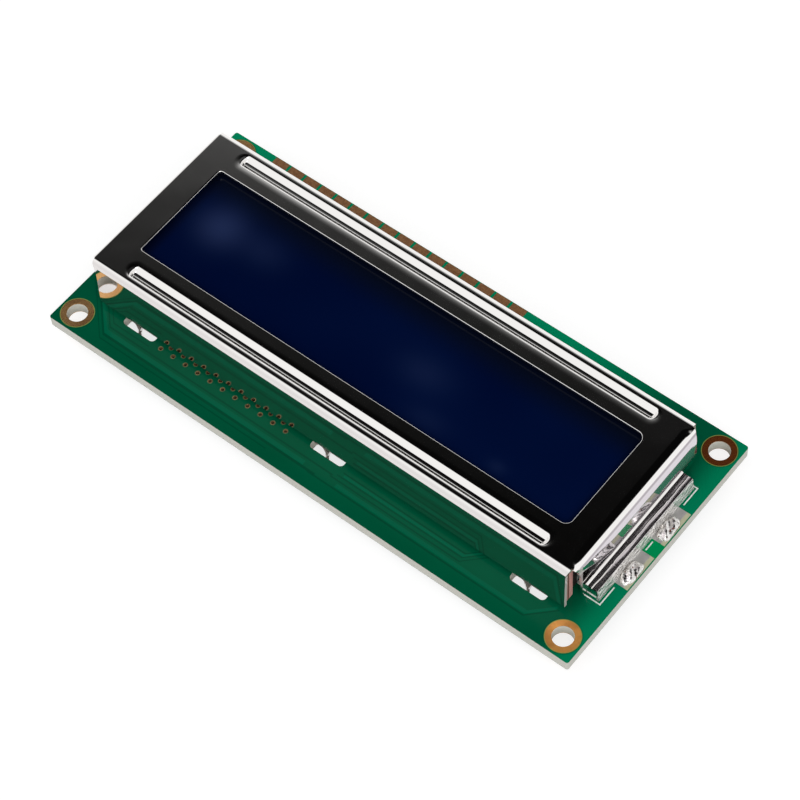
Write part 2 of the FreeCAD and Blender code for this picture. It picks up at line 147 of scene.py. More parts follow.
# Floor: a plain white sheet of paper that the ends of the module's tabs stand on. It looks
# white to the camera and in mirrors, and keeps a faint shadow.
floor_reach = 3.0
floor_glow = 0.75
floor_grey = 0.35
floor_mesh = bpy.data.meshes.new("floor")
floor_mesh.from_pydata([(x * floor_reach, y * floor_reach, 0.0)
                        for x, y in ((-1, -1), (1, -1), (1, 1), (-1, 1))],
                       [], [(0, 1, 2, 3)])
floor = bpy.data.objects.new("floor", floor_mesh)
scene.collection.objects.link(floor)
floor_paper = bpy.data.materials.new("floor_paper")
floor_paper.use_nodes = True
paper = floor_paper.node_tree
paper.nodes.clear()
paper_rays = paper.nodes.new("ShaderNodeLightPath").outputs
paper_seen = step(paper, "MAXIMUM", paper_rays["Is Camera Ray"], paper_rays["Is Glossy Ray"])
paper_seen = step(paper, "MAXIMUM", paper_seen, paper_rays["Is Transmission Ray"])
paper_glow = paper.nodes.new("ShaderNodeEmission")
put(paper, paper_glow.inputs["Strength"], step(paper, "MULTIPLY", paper_seen, floor_glow))
paper_body = paper.nodes.new("ShaderNodeBsdfDiffuse")
paper_body.inputs["Color"].default_value = (floor_grey, floor_grey, floor_grey, 1.0)
paper_sum = paper.nodes.new("ShaderNodeAddShader")
paper.links.new(paper_glow.outputs[0], paper_sum.inputs[0])
paper.links.new(paper_body.outputs[0], paper_sum.inputs[1])
paper_output = paper.nodes.new("ShaderNodeOutputMaterial")
paper.links.new(paper_sum.outputs[0], paper_output.inputs["Surface"])
floor_mesh.materials.append(floor_paper)


# Circuit board: a green-masked sheet of glass-fibre laminate that carries everything. The
# mask covers copper tracks on both faces, and the routed edges and bores show pale laminate.
def paint(red, green, blue):
    """A colour given in screen values from 0 to 255, as the linear values a shader takes."""
    values = [v / 255 for v in (red, green, blue)]
    return [v / 12.92 if v <= 0.04045 else ((v + 0.055) / 1.055) ** 2.4
            for v in values] + [1.0]


class Finish:
    """A surface finish in the making. Its patterns read the object's own place, in mm."""

    def __init__(self, name):
        self.material = bpy.data.materials.new(name)
        self.material.use_nodes = True
        self.tree = self.material.node_tree
        self.shader = self.tree.nodes["Principled BSDF"]
        place = self.tree.nodes.new("ShaderNodeTexCoord")
        scale = self.tree.nodes.new("ShaderNodeVectorMath")
        scale.operation = "SCALE"
        self.tree.links.new(place.outputs["Object"], scale.inputs[0])
        scale.inputs["Scale"].default_value = 1000.0
        self.place = scale.outputs[0]
        axes = self.tree.nodes.new("ShaderNodeSeparateXYZ")
        self.tree.links.new(self.place, axes.inputs[0])
        self.x, self.y, self.z = axes.outputs

    def both(self, first, second):
        """The product: where both patterns hold, or a pattern made weaker by a share."""
        return step(self.tree, "MULTIPLY", first, second)

    def plus(self, first, second):
        """The sum of two patterns."""
        return step(self.tree, "ADD", first, second)

    def less(self, first, second):
        """What is left of the first after the second is taken off."""
        return step(self.tree, "SUBTRACT", first, second)

    def either(self, first, *others):
        """The largest of several patterns: where any of them holds."""
        for other in others:
            first = step(self.tree, "MAXIMUM", first, other)
        return first

    def away(self, value, middle=0.0):
        """Distance of a value from a middle."""
        return step(self.tree, "ABSOLUTE", self.less(value, middle))

    def square(self, across, up):
        """Square of the distance: the sum of the squares of the two parts."""
        return self.plus(self.both(across, across), self.both(up, up))

    def reach(self, across, up):
        """Distance with those two parts: the root of the sum of their squares."""
        return step(self.tree, "SQRT", self.square(across, up))

    def waves(self, run, pitch, soft=0.2):
        """Bands from 0 to 1 across the run: a sine wave of that pitch, made steeper."""
        wave = step(self.tree, "SINE", self.both(run, 2 * math.pi / pitch))
        return self.rise(wave, -soft, soft)

    def rise(self, value, low, high, start=0.0, end=1.0):
        """Goes smoothly from start at low to end at high, and stays there."""
        return ramp(self.tree, value, low, high, start, end)

    def grain(self, size, detail=3.0, stretch=(1.0, 1.0, 1.0)):
        """Cloudy noise from 0 to 1 with grains of about that size in mm."""
        node = self.tree.nodes.new("ShaderNodeTexNoise")
        shape = self.tree.nodes.new("ShaderNodeVectorMath")
        shape.operation = "MULTIPLY"
        put(self.tree, shape.inputs[0], self.place)
        shape.inputs[1].default_value = stretch
        put(self.tree, node.inputs["Vector"], shape.outputs[0])
        node.inputs["Scale"].default_value = 1.0 / size
        node.inputs["Detail"].default_value = detail
        node.inputs["Roughness"].default_value = 0.55
        return node.outputs["Fac"]

    def blend(self, share, first, second):
        """Colour that goes from first to second as share goes from 0 to 1."""
        node = self.tree.nodes.new("ShaderNodeMix")
        node.data_type = "RGBA"
        put(self.tree, node.inputs[0], share)
        put(self.tree, node.inputs[6], first)
        put(self.tree, node.inputs[7], second)
        return node.outputs[2]

    def relief(self, height, depth):
        """Fine relief from a height pattern of 0 to 1 that is depth mm deep."""
        node = self.tree.nodes.new("ShaderNodeBump")
        node.inputs["Strength"].default_value = 1.0
        node.inputs["Distance"].default_value = depth / 1000
        put(self.tree, node.inputs["Height"], height)
        put(self.tree, self.shader.inputs["Normal"], node.outputs[0])

    def coat(self, **sockets):
        """Sets sockets of the shader, with _ for a space in their names."""
        for name, value in sockets.items():
            put(self.tree, self.shader.inputs[name.replace("_", " ")], value)
        return self.material


def dress(material, *nodes):
    """Gives nodes of the model that material, in each of their slots."""
    for node in nodes:
        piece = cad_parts[node]
        if not piece.material_slots:
            piece.data.materials.append(material)
        for slot in piece.material_slots:
            slot.material = material


board_top = 3.6
board_bottom = 2.0
past_board = 41.0
skin = 0.03
track_blur = 0.07
track_core = 0.05
track_end = 0.1

mask = Finish("green_mask")


def lane(turn_x, way):
    """A line of tracks along the front: y, less how far x has gone past the turn."""
    past = mask.both(mask.less(mask.x, turn_x), way)
    return mask.less(mask.y, mask.either(past, 0.0))


def stripe(run, centre, half, start=-past_board, end=past_board):
    """A track: 1 where the lane is within half of centre, and x from start to end."""
    share = mask.rise(mask.away(run, centre), half + track_blur, half - track_core)
    ends = mask.both(mask.rise(mask.x, start - track_end, start + track_end),
                     mask.rise(mask.x, end + track_end, end - track_end))
    return mask.both(share, ends)


# On the front the tracks run along the strip before the bezel and turn off by an eighth
left_lane, middle_lane, right_lane = lane(-32.8, -1.0), lane(22.0, 1.0), lane(32.2, 1.0)
gaps = mask.either(
    stripe(left_lane, -14.65, 0.10, end=2.8), stripe(left_lane, -13.95, 0.07, end=-27.0),
    stripe(left_lane, -15.9, 0.16, end=1.0), stripe(left_lane, -16.6, 0.07, end=-6.0),
    stripe(middle_lane, -13.65, 0.08, 3.7, 25.4), stripe(middle_lane, -14.3, 0.07, 3.2, 25.0),
    stripe(middle_lane, -14.9, 0.08, 2.6, 25.0), stripe(right_lane, -16.05, 0.10, 0.0, 35.2))
lands = mask.either(
    stripe(left_lane, -15.4, 0.30, end=-1.0), stripe(middle_lane, -13.97, 0.16, 4.0, 25.0),
    stripe(right_lane, -15.55, 0.26, 4.0, 34.8))
# On the back they run between the two chips, and from the resistors to the header
header_track_pitch = 1.27
chip_track_pitch = 1.1
leaning_x = mask.plus(mask.x, mask.both(mask.either(mask.less(mask.y, 9.0), 0.0), 0.8))
by_header = mask.both(mask.rise(mask.y, 7.4, 7.9), mask.rise(mask.y, 14.6, 14.1))
between_chips = mask.both(mask.rise(mask.away(mask.x), 8.6, 8.2),
                          mask.rise(mask.away(mask.y), 6.2, 5.8))
back_tracks = mask.either(mask.both(mask.waves(leaning_x, header_track_pitch), by_header),
                          mask.both(mask.waves(mask.y, chip_track_pitch), between_chips))

deep_green = mask.blend(mask.grain(9.0, detail=2.0), paint(0, 76, 50), paint(0, 88, 60))
raised_green = mask.blend(mask.both(lands, 0.7), deep_green, paint(0, 96, 68))
front_green = mask.blend(mask.both(gaps, 0.65), raised_green, paint(0, 62, 42))
# Painted light: the mask is painted lighter green at the right end, behind the bezel and between
# the two large pads, where more light falls
painted_light_right_end = mask.both(mask.rise(mask.x, 35.5, 39.8), 0.75)
behind = mask.both(mask.rise(mask.x, 34.0, 12.0), mask.rise(mask.y, 12.4, 13.4))
painted_light_at_pads = mask.both(mask.rise(mask.x, 37.9, 38.3), mask.rise(mask.away(mask.y), 1.4, 1.0))
for share, painted_light_green in ((painted_light_right_end, paint(0, 134, 92)), (behind, paint(0, 140, 96)),
                           (painted_light_at_pads, paint(0, 142, 82))):
    front_green = mask.blend(share, front_green, painted_light_green)
back_green = mask.blend(back_tracks, paint(0, 74, 50), paint(6, 112, 76))
on_back = mask.rise(mask.z, board_bottom + 0.02, board_bottom + 0.01)
mask_green = mask.blend(on_back, front_green, back_green)
laminate = mask.blend(mask.grain(0.5, stretch=(1.0, 1.0, 3.0)), paint(206, 206, 198),
                      paint(232, 230, 220))
cut_edge = mask.both(mask.rise(mask.z, board_top - skin, board_top - skin - 0.02),
                     mask.rise(mask.z, board_bottom + skin, board_bottom + skin + 0.02))
mask.relief(mask.plus(mask.both(mask.either(lands, back_tracks), 0.5),
                      mask.both(mask.grain(0.25), 0.12)), 0.02)
green_mask = mask.coat(Base_Color=mask.blend(cut_edge, mask_green, laminate),
                       Roughness=mask.rise(cut_edge, 0.0, 1.0, 0.16, 0.8),
                       Specular_IOR_Level=0.06)
dress(green_mask, "circuit_board")


# Bezel: one sheet of bright steel, 0.4 mm thick, blanked with its window, pressed with two
# stiffening grooves and folded down on all four sides. Its front corners are left open.
mm = 0.001
sheet = 0.4
bezel_top = 12.2
bezel_foot = 4.45
bezel_height = bezel_top - bezel_foot
corner_left = -36.3
corner_right = 35.9
corner_y = 11.75
long_bend = 0.84
long_lean = math.radians(1.35)
short_bend = 0.45
left_lean = math.radians(3.1)
bulge_start = 35.1
window_x = (-32.62, 32.2)
window_y = 7.52
window_corner_left = 0.45
window_corner_right = 1.0
corner_steps = 13
edge_roll = 0.08
window_slant = 2.2
groove_y = 10.47
groove_x = (-31.0, 30.995)
groove_flat = 0.30
groove_ramp = 0.50
groove_shoulder = 0.26
groove_depth = 0.50
groove_end_steepness = (2.1, 1.4)
groove_tip_run = 0.7
groove_plain_run = 2.0
dish_depth = 0.03
dish_inward = 0.90
dish_outward = 0.33
seat = 0.03
merge_reach = 1e-6
crisp_angle = 35.0
foot_round = 0.9
bulge_turn = 86.7
bulge_samples = 400
notch_half = 9.2
notch_rise = 0.9
tab_xs = (-29.85, 0.15, 30.15)
tab_y = 12.55
tab_half = 0.725
tab_head_half = 1.8
tab_slack = 0.005
tab_twist = -45.0
tab_twist_length = 1.0


class Shell:
    """Gathers grids and flat faces of points in mm, to be joined into one closed mesh."""

    def __init__(self):
        self.points = []
        self.faces = []
        self.count = 0

    def add(self, points, faces):
        """Adds points, and faces that count them from their own first one."""
        self.points.append(np.asarray(points, float).reshape(-1, 3))
        self.faces += (np.asarray(faces) + self.count).tolist()
        self.count += len(self.points[-1])

    def grid(self, points):
        """Joins a grid of points, rows by columns, with four-sided faces."""
        rows, columns = points.shape[:2]
        cell = (np.arange(rows - 1)[:, None] * columns + np.arange(columns - 1)).ravel()
        self.add(points, np.stack([cell, cell + 1, cell + columns + 1, cell + columns], 1))

    def fill(self, outline, holes):
        """Fills a flat outline less its holes with triangles."""
        loops = [[Vector(p) for p in loop] for loop in [outline] + holes]
        self.add(np.concatenate([outline] + holes), tessellate_polygon(loops))

    def dome(self, points, level):
        """Joins a dome's grid into a ring and closes it with a flat base at that level."""
        points[:, -1] = points[:, 0]
        self.grid(points)
        self.grid(points * (1.0, 1.0, 0.0) + (0.0, 0.0, level))

    def finish(self, name, material):
        """Makes the mesh: merges the joints, turns faces outwards, keeps corners crisp."""
        mesh = bpy.data.meshes.new(name)
        mesh.from_pydata((np.concatenate(self.points) * mm).tolist(), [], self.faces)
        shape = bmesh.new()
        shape.from_mesh(mesh)
        bmesh.ops.remove_doubles(shape, verts=shape.verts, dist=merge_reach)
        bmesh.ops.recalc_face_normals(shape, faces=shape.faces)
        shape.to_mesh(mesh)
        shape.free()
        mesh.shade_smooth()
        mesh.set_sharp_from_angle(angle=math.radians(crisp_angle))
        mesh.materials.append(material)
        piece = bpy.data.objects.new(name, mesh)
        scene.collection.objects.link(piece)
        return piece


bend_share = np.linspace(0.0, 1.0, 13)[:, None]
fall_share = np.array([0.004, 0.06, 0.14, 0.23, 0.32, 0.41, 0.5, 0.6, 0.7, 0.78, 0.85, 0.91,
                       0.955, 0.985, 1.0])[:, None]


def plain_fold(radius, lean, falls):
    """Section of a folded wall: a quarter arc, then a straight run that leans out by lean.

    radius and falls, the depth of the foot, are given at each place along the wall. Returns
    the way outwards, the fall and the tilt, as rows down the sheet by places along it.
    """
    radius, falls = np.broadcast_arrays(np.asarray(radius, float), falls)
    tilt = bend_share * (math.pi / 2 - lean) + 0 * radius
    out, fall = radius * np.sin(tilt), radius * (1 - np.cos(tilt))
    straight = fall_share * (falls - fall[-1])
    return (np.concatenate([out, out[-1] + straight * math.tan(lean)]),
            np.concatenate([fall, fall[-1] + straight]),
            np.concatenate([tilt, tilt[-1] + 0 * straight]))


def bulged_fold(falls):
    """Section of the right wall, which springs out in a slow curve and comes back below.

    The way outwards is the sum of the cosine, and the fall the sum of the sine, of a tilt
    that grows with a radius from the table, and below that the sum of the tilt's cotangent
    down the wall.
    """
    fine = np.radians(np.linspace(0.0, bulge_turn, bulge_samples))
    radius = np.interp(np.degrees(fine), [0, 26, 30, 52, 56, bulge_turn],
                       [1.64, 1.64, 1.66, 1.66, 1.96, 1.96])
    growth = np.diff(fine, prepend=0.0)
    out_fine = np.cumsum(radius * np.cos(fine) * growth)
    fall_fine = np.cumsum(radius * np.sin(fine) * growth)
    tilt = np.radians(bulge_turn) * bend_share + 0 * falls
    out, fall = np.interp(tilt, fine, out_fine), np.interp(tilt, fine, fall_fine)
    depth = np.linspace(fall_fine[-1], bezel_height, bulge_samples)
    lower_tilt = np.radians(np.interp(
        depth, [1.72, 3.3, 3.7, 4.6, 5.6, 6.3, 6.9, bezel_height],
        [bulge_turn, 87.6, 90.5, 103.0, 105.5, 101.0, 94.0, 90.0]))
    out_depth = out_fine[-1] + np.cumsum(np.diff(depth, prepend=depth[0]) / np.tan(lower_tilt))
    below = fall[-1] + fall_share * (falls - fall[-1])
    return (np.concatenate([out, np.interp(below, depth, out_depth)]),
            np.concatenate([fall, below]),
            np.concatenate([tilt, np.interp(below, depth, lower_tilt)]))


def add_wall(shell, section, edge, ends, run, along_way, out_way):
    """Adds a folded wall: outer and inner face, foot and both ends.

    edge is where the bend starts at each place along the wall, ends gives the wall's two
    end places for a fall, and the two ways say where along and outwards point in x and y. A
    narrow level row, as wide as seat, leads from the flat into the bend. Returns the outer
    and the inner line that join the flat.
    """
    turn_wall = np.array([[*along_way, 0.0], [*out_way, 0.0], [0.0, 0.0, 1.0]])
    out, fall, tilt = section
    low, high = ends(fall)
    along = low + (high - low) * run[None, :]
    start, finish = ends(np.zeros_like(fall[:1]))
    seat_along = (start + seat) + (finish - start - 2 * seat) * run[None, :]
    faces = []
    for depth in (0.0, sheet):
        across = edge + out - depth * np.sin(tilt)
        height = bezel_top - fall - depth * np.cos(tilt)
        seat_row = np.stack([seat_along, np.broadcast_to(edge - seat, seat_along.shape),
                             np.full_like(seat_along, bezel_top - depth)], 2)
        rows = np.concatenate([seat_row, np.stack([along, across, height], 2)])
        faces.append(rows @ turn_wall)
    outer, inner = faces
    shell.grid(np.concatenate([outer, inner[::-1]]))
    for end in (0, -1):
        shell.grid(np.stack([outer[1:, end], inner[1:, end]], 1))
    return outer[0], inner[0]


def fall_ends(low, high):
    """Ends of a wall that follow straight lines between given falls."""
    def ends(fall):
        return np.interp(fall, low[0], low[1]), np.interp(fall, high[0], high[1])
    return ends


def short_wall_ends(fall):
    """Ends of a short wall: a relief cut at the front and a rounded foot at the back."""
    low = np.interp(fall, [0.0, 0.1, 0.45, 0.9, 1.5, 4.0, bezel_height],
                    [-corner_y, -corner_y, -11.6, -11.3, -11.0, -10.35, -10.1])
    high = np.interp(fall, [0.0, 0.5, 1.3, 2.4, 4.6, 6.3, bezel_height],
                     [corner_y, 11.62, 11.7, 11.86, 12.08, 12.2, 12.3])
    near_foot = np.clip((fall - (bezel_height - foot_round)) / foot_round, 0.0, 1.0)
    return low, high - foot_round * (1 - np.sqrt(1 - near_foot ** 2))


def left_wall_ends(fall):
    """Ends of the left wall, whose front end stands back behind the corner."""
    low, high = short_wall_ends(fall)
    return low + np.interp(fall, [0.1, 0.45, 0.9], [0.0, 0.4, 0.5]), high


def right_wall_ends(fall):
    """Ends of the right wall, whose back end draws in where the wall springs out."""
    low, high = short_wall_ends(fall)
    inset = np.interp(fall, [0.0, 0.4, 1.3, 2.4, 4.6, 6.3], [0.0, 0.0, 0.25, 0.63, 0.57, 0.05])
    return low, high - inset


def eased(value, low, high):
    """Goes from 0 at low to 1 at high: three squares less two cubes of the share between."""
    share = np.clip((value - low) / (high - low), 0.0, 1.0)
    return share * share * (3 - 2 * share)


bezel_shell = Shell()
long_run = np.linspace(0.0, 1.0, 15)
long_fold = plain_fold(long_bend, long_lean, np.full(len(long_run), bezel_height))
front_ends = fall_ends(([0.0, 0.05, 0.9, 2.5, bezel_height],
                        [corner_left, corner_left, -35.9, -35.75, -35.9]),
                       ([0.0, 0.05, 0.8, bezel_height],
                        [corner_right, corner_right, 35.65, 35.65]))
back_ends = fall_ends(([0.0, 0.8, bezel_height], [corner_left, -36.7, -37.0]),
                      ([0.0, 0.8, bezel_height], [corner_right, 35.72, 35.62]))
front_wall = add_wall(bezel_shell, long_fold, corner_y, front_ends, long_run,
                      (1.0, 0.0), (0.0, -1.0))
back_wall = add_wall(bezel_shell, long_fold, corner_y, back_ends, long_run,
                     (1.0, 0.0), (0.0, 1.0))
left_run = np.linspace(0.0, 1.0, 11)
left_fold = plain_fold(short_bend, left_lean, np.full(len(left_run), bezel_height))
left_wall = add_wall(bezel_shell, left_fold, -corner_left, left_wall_ends, left_run,
                     (0.0, 1.0), (-1.0, 0.0))
# The right wall's foot is raised between two notches, so that the lamps' board can pass
notch_side = np.array([notch_half, notch_half + 0.02, 9.7, 10.2, 10.7, 11.1, 11.45, corner_y])
right_place = np.concatenate([-notch_side[::-1], [-6.0, -3.0, 0.0, 3.0, 6.0], notch_side])
right_run = (right_place + corner_y) / (2 * corner_y)
right_falls = np.where(np.abs(right_place) < notch_half + 0.01, bezel_height - notch_rise,
                       bezel_height)
tight = eased(np.abs(right_place), 10.5, corner_y)
sprung = bulged_fold(right_falls)
folded = plain_fold(short_bend, 0.0, right_falls)
right_edge = bulge_start * (1 - tight) + corner_right * tight
# It springs out, but stays a plain fold near the flat's corners and low at its front end
free = eased(sprung[1], 0.7, 2.0)
settled = eased(-right_place, 6.5, 11.0)
held = tight * (1 - free) + settled * free
right_section = [a * (1 - held) + b * held for a, b in zip(sprung, folded)]
right_section[0] += bulge_start * (1 - held) + corner_right * held - right_edge
right_wall = add_wall(bezel_shell, right_section, right_edge, right_wall_ends, right_run,
                      (0.0, 1.0), (1.0, 0.0))


def window_line(out, height):
    """The window's rounded outline, moved outwards by out, at that height.

    On the left side it moves out further by a factor, so that the rolled edge is slanted.
    """
    corners = ((window_x[1], -window_y, 1, -1, window_corner_right, -90.0),
               (window_x[1], window_y, 1, 1, window_corner_right, 0.0),
               (window_x[0], window_y, -1, 1, window_corner_left, 90.0),
               (window_x[0], -window_y, -1, -1, window_corner_left, 180.0))
    line = []
    for x, y, way_x, way_y, radius, start in corners:
        angle = np.radians(start + np.linspace(0.0, 90.0, corner_steps))
        slant = window_slant if way_x < 0 else 1.0
        line.append(np.stack([x - way_x * radius + (radius + slant * out) * np.cos(angle),
                              y - way_y * radius + (radius + out) * np.sin(angle),
                              np.full(corner_steps, height)], 1))
    return np.concatenate(line)


roll = np.linspace(0.0, math.pi / 2, 6)
window_steps = [(edge_roll + seat, bezel_top)]
window_steps += [(edge_roll * (1 - math.sin(a)), bezel_top - edge_roll * (1 - math.cos(a)))
                 for a in roll]
window_steps += [(0.0, bezel_top - edge_roll - seat), (0.0, bezel_top - sheet),
                 (seat, bezel_top - sheet)]
window_ring = np.stack([window_line(out, high) for out, high in window_steps])
bezel_shell.grid(np.concatenate([window_ring, window_ring[:, :1]], 1))


def groove_bed(side):
    """The sheet over a pressed groove, as a grid over x and y.

    Depth falls along a straight ramp with rounded shoulders, with the distance from the
    groove's centre line, from the full depth on its flat bottom to nothing, and past the
    two ends that distance counts more. Round the groove the flat is drawn down too, by the
    square of what is left of a narrow border that is wider towards the window.
    """
    soft = groove_ramp * groove_shoulder
    top = groove_flat + groove_ramp
    reach = top + (dish_inward + dish_outward) / 2 + 2 * seat
    tip = np.linspace(-reach, groove_tip_run, 48)
    middle = np.linspace(groove_x[0] + groove_plain_run, groove_x[1] - groove_plain_run, 13)
    x = np.concatenate([groove_x[0] + tip, middle, groove_x[1] - tip[::-1]])
    slope = np.linspace(groove_flat - soft, top + soft, 22)
    inward = np.linspace(top + soft, top + dish_inward, 9)[1:]
    outward = np.linspace(top + soft, top + dish_outward, 5)[1:]
    y = np.concatenate([[-inward[-1] - seat], -inward[::-1], -slope[::-1], slope, outward,
                        [outward[-1] + seat]])
    grid_x, grid_y = np.meshgrid(x, y)
    past = np.maximum(np.maximum(groove_x[0] - grid_x, grid_x - groove_x[1]), 0.0)
    away = np.hypot(past, grid_y)
    steeper = np.where(grid_x < 0, *groove_end_steepness)
    along_ramp = (np.hypot(steeper * past, grid_y) - groove_flat) / groove_ramp

    def rounded(share):
        blend = np.clip(share, -groove_shoulder, groove_shoulder) + groove_shoulder
        return blend ** 2 / (4 * groove_shoulder) + np.maximum(share - groove_shoulder, 0.0)

    border = (dish_inward + dish_outward) / 2 - (
        (dish_inward - dish_outward) / 2 * grid_y / np.maximum(away, seat))
    left = 1 - np.clip((away - top) / border, 0.0, 1.0)
    depth = (groove_depth * (1 - rounded(along_ramp) + rounded(along_ramp - 1))
             + dish_depth * left ** 2)
    depth[[0, -1]] = 0.0
    depth[:, [0, -1]] = 0.0
    bed = np.stack([grid_x, side * (grid_y + groove_y), bezel_top - depth], 2)
    return bed if side > 0 else bed[::-1]


def rim(bed):
    """The points round the border of a grid, in order."""
    return np.concatenate([bed[0, :-1], bed[:-1, -1], bed[-1, :0:-1], bed[:0:-1, 0]])


grooves = [groove_bed(side) for side in (-1, 1)]
drop = np.array([0.0, 0.0, sheet])
for bed in grooves:
    bezel_shell.grid(bed)
    bezel_shell.grid(bed - drop)
# The flat's outer face and its inner face, between the walls, the grooves and the window
for layer, ring in enumerate((window_ring[0], window_ring[-1])):
    outline = np.concatenate([front_wall[layer][:-1], right_wall[layer][:-1],
                              back_wall[layer][:0:-1], left_wall[layer][:0:-1]])
    bezel_shell.fill(outline, [rim(bed - layer * drop) for bed in grooves] + [ring])


def twisted_tab(x, y):
    """A tab from a wall's foot: a flat strip, turned by an eighth turn below the wall.

    Down the tab, its half width goes from neck to head, and its angle from 0 to the twist
    over the first millimetre; each level is the strip's four corners.
    """
    z = np.array([bezel_foot + 0.45, bezel_foot, 4.3, 4.15, 4.0, 3.85, 3.7, 3.55,
                  bezel_foot - tab_twist_length, board_bottom + 0.02, board_bottom,
                  board_bottom - 0.05, 1.0, 0.5, 0.2, 0.0])
    half = np.array([tab_half] * 10 + [1.62] + [tab_head_half] * 3 + [1.68, 1.35])
    turned = np.clip((bezel_foot - z) / tab_twist_length, 0.0, 1.0)
    angle = np.radians(tab_twist * turned)
    level = []
    for side_x, side_y in ((-1, -1), (1, -1), (1, 1), (-1, 1), (-1, -1)):
        long, thick = side_x * half, side_y * np.full(len(z), sheet / 2 - tab_slack)
        level.append(np.stack([x + long * np.cos(angle) - thick * np.sin(angle),
                               y + long * np.sin(angle) + thick * np.cos(angle), z], 1))
    return np.stack(level, 1)


for tab_x in tab_xs:
    for side in (-1, 1):
        tab = twisted_tab(tab_x, side * tab_y)
        bezel_shell.grid(tab)
        bezel_shell.add(tab[0, :4], [(0, 1, 2, 3)])
        bezel_shell.add(tab[-1, :4], [(0, 1, 2, 3)])

steel = Finish("bezel_sheet")
steel_tone = steel.blend(steel.grain(14.0), paint(238, 236, 234), paint(247, 245, 243))
# Painted shade: the front wall gets a greyer tone, so that it mirrors darker than the rest of the
# sheet
painted_shade_front_wall = steel.rise(steel.y, -12.0, -12.35)
# Painted sheen: the right wall below its bend gets a greyer, slightly less metallic tone, so that
# what it mirrors looks paler, with a darker painted line along its outer band
painted_sheen_right_wall = steel.both(steel.rise(steel.x, 36.34, 36.46), steel.rise(steel.z, 11.9, 11.6))
painted_dark_line_right_wall = steel.both(painted_sheen_right_wall, steel.rise(steel.x, 36.60, 36.50))
# The cut edges at the open front right corner: of the right wall, and of the front wall
sheared = steel.either(
    steel.both(steel.rise(steel.y, -10.15, -10.3), steel.rise(steel.x, 36.0, 36.1)),
    steel.both(steel.rise(steel.x, 35.60, 35.64), steel.rise(steel.y, -12.0, -12.1)))
sheared = steel.both(sheared, steel.rise(steel.z, 11.3, 11.0))
for share, tone in ((painted_shade_front_wall, paint(224, 220, 219)), (sheared, paint(226, 218, 216)),
                    (painted_sheen_right_wall, paint(216, 210, 216)), (painted_dark_line_right_wall, paint(176, 170, 174))):
    steel_tone = steel.blend(share, steel_tone, tone)
steel.relief(steel.grain(7.0, detail=1.0), 0.02)
bezel_sheet = steel.coat(Base_Color=steel_tone,
                         Metallic=steel.both(steel.rise(painted_sheen_right_wall, 0.0, 1.0, 1.0, 0.9),
                                             steel.rise(sheared, 0.0, 1.0, 1.0, 0.3)),
                         Roughness=steel.rise(steel.grain(3.0), 0.3, 0.7, 0.04, 0.075))
bezel = bezel_shell.finish("bezel_shell", bezel_sheet)
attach(bezel, "root")
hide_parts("bezel")


# Bare copper: the plated rings round the four mounting holes, left free of the mask. Handling has
# stained them unevenly, and a thin olive line of mask creeps over their outer edge.
hole_x = 37.5
hole_y = 15.5
copper = Finish("bare_copper")
ring_reach = copper.reach(copper.away(copper.away(copper.x), hole_x),
                          copper.away(copper.away(copper.y), hole_y))
# Painted reflection: the copper is paler at the left and darker brown to the right, with a painted
# highlight on the front right ring
painted_reflection_copper = copper.blend(copper.rise(copper.x, -20.0, 30.0), paint(236, 184, 122),
                       paint(176, 96, 48))
painted_highlight_front_ring = copper.both(copper.rise(copper.x, 10.0, 37.0), copper.rise(copper.y, -10.0, -14.0))
stained_copper_with_painted_light = copper.blend(painted_highlight_front_ring, painted_reflection_copper, paint(242, 172, 92))
stains = copper.both(copper.rise(copper.grain(1.4), 0.4, 0.65), 0.3)
stained_copper_with_painted_light = copper.blend(stains, stained_copper_with_painted_light, paint(150, 88, 50))
covered = copper.rise(ring_reach, 2.08, 2.14)
beyond = copper.rise(ring_reach, 2.17, 2.22)
ring_tone = copper.blend(beyond, copper.blend(covered, stained_copper_with_painted_light, paint(120, 140, 70)),
                         paint(0, 84, 56))
copper.relief(copper.grain(0.3), 0.01)
bare_copper = copper.coat(Base_Color=ring_tone,
                          Metallic=copper.both(copper.rise(covered, 0.0, 1.0, 0.88, 0.0),
                                               copper.rise(painted_highlight_front_ring, 0.0, 1.0, 1.0, 0.6)),
                          Roughness=0.22, Specular_IOR_Level=0.1)
dress(bare_copper, "mounting_hole_rings")


# Header pads and vias: thin plated copper round each small hole, dulled to brown. The mask
# closes in on the outer part of every via's ring.
via_pitch = 2.0
via_front_row = (-15.6 - via_pitch / 2, -13.32)
via_back_row = (-15.6, -12.5)
plate = Finish("header_copper")


def via_reach(start, row):
    """Distance from the nearest via's axis in a row: x from its start, folded by the pitch."""
    folded = step(plate.tree, "FLOORED_MODULO", plate.less(plate.x, start), via_pitch)
    return plate.reach(plate.less(folded, via_pitch / 2), plate.less(plate.y, row))


in_front_row = plate.rise(plate.y, -12.90, -12.92)
in_back_row = plate.less(1.0, in_front_row)
reach_of_via = plate.plus(plate.both(via_reach(*via_front_row), in_front_row),
                          plate.both(via_reach(*via_back_row), in_back_row))
masked = plate.both(plate.rise(reach_of_via, 0.29, 0.33), plate.rise(plate.y, 0.0, -1.0))
dull = plate.blend(plate.rise(plate.grain(0.35), 0.35, 0.65), paint(104, 84, 56),
                   paint(150, 122, 84))
in_header = plate.both(plate.rise(plate.y, 0.0, 1.0), 0.6)
warm = plate.blend(in_header, dull, paint(150, 98, 64))
plate.relief(plate.grain(0.2), 0.015)
header_copper = plate.coat(Base_Color=plate.blend(masked, warm, paint(0, 84, 56)),
                           Metallic=plate.rise(masked, 0.0, 1.0, 0.3, 0.0),
                           Roughness=0.4, Specular_IOR_Level=0.2)
dress(header_copper, "header_pads", "vias")


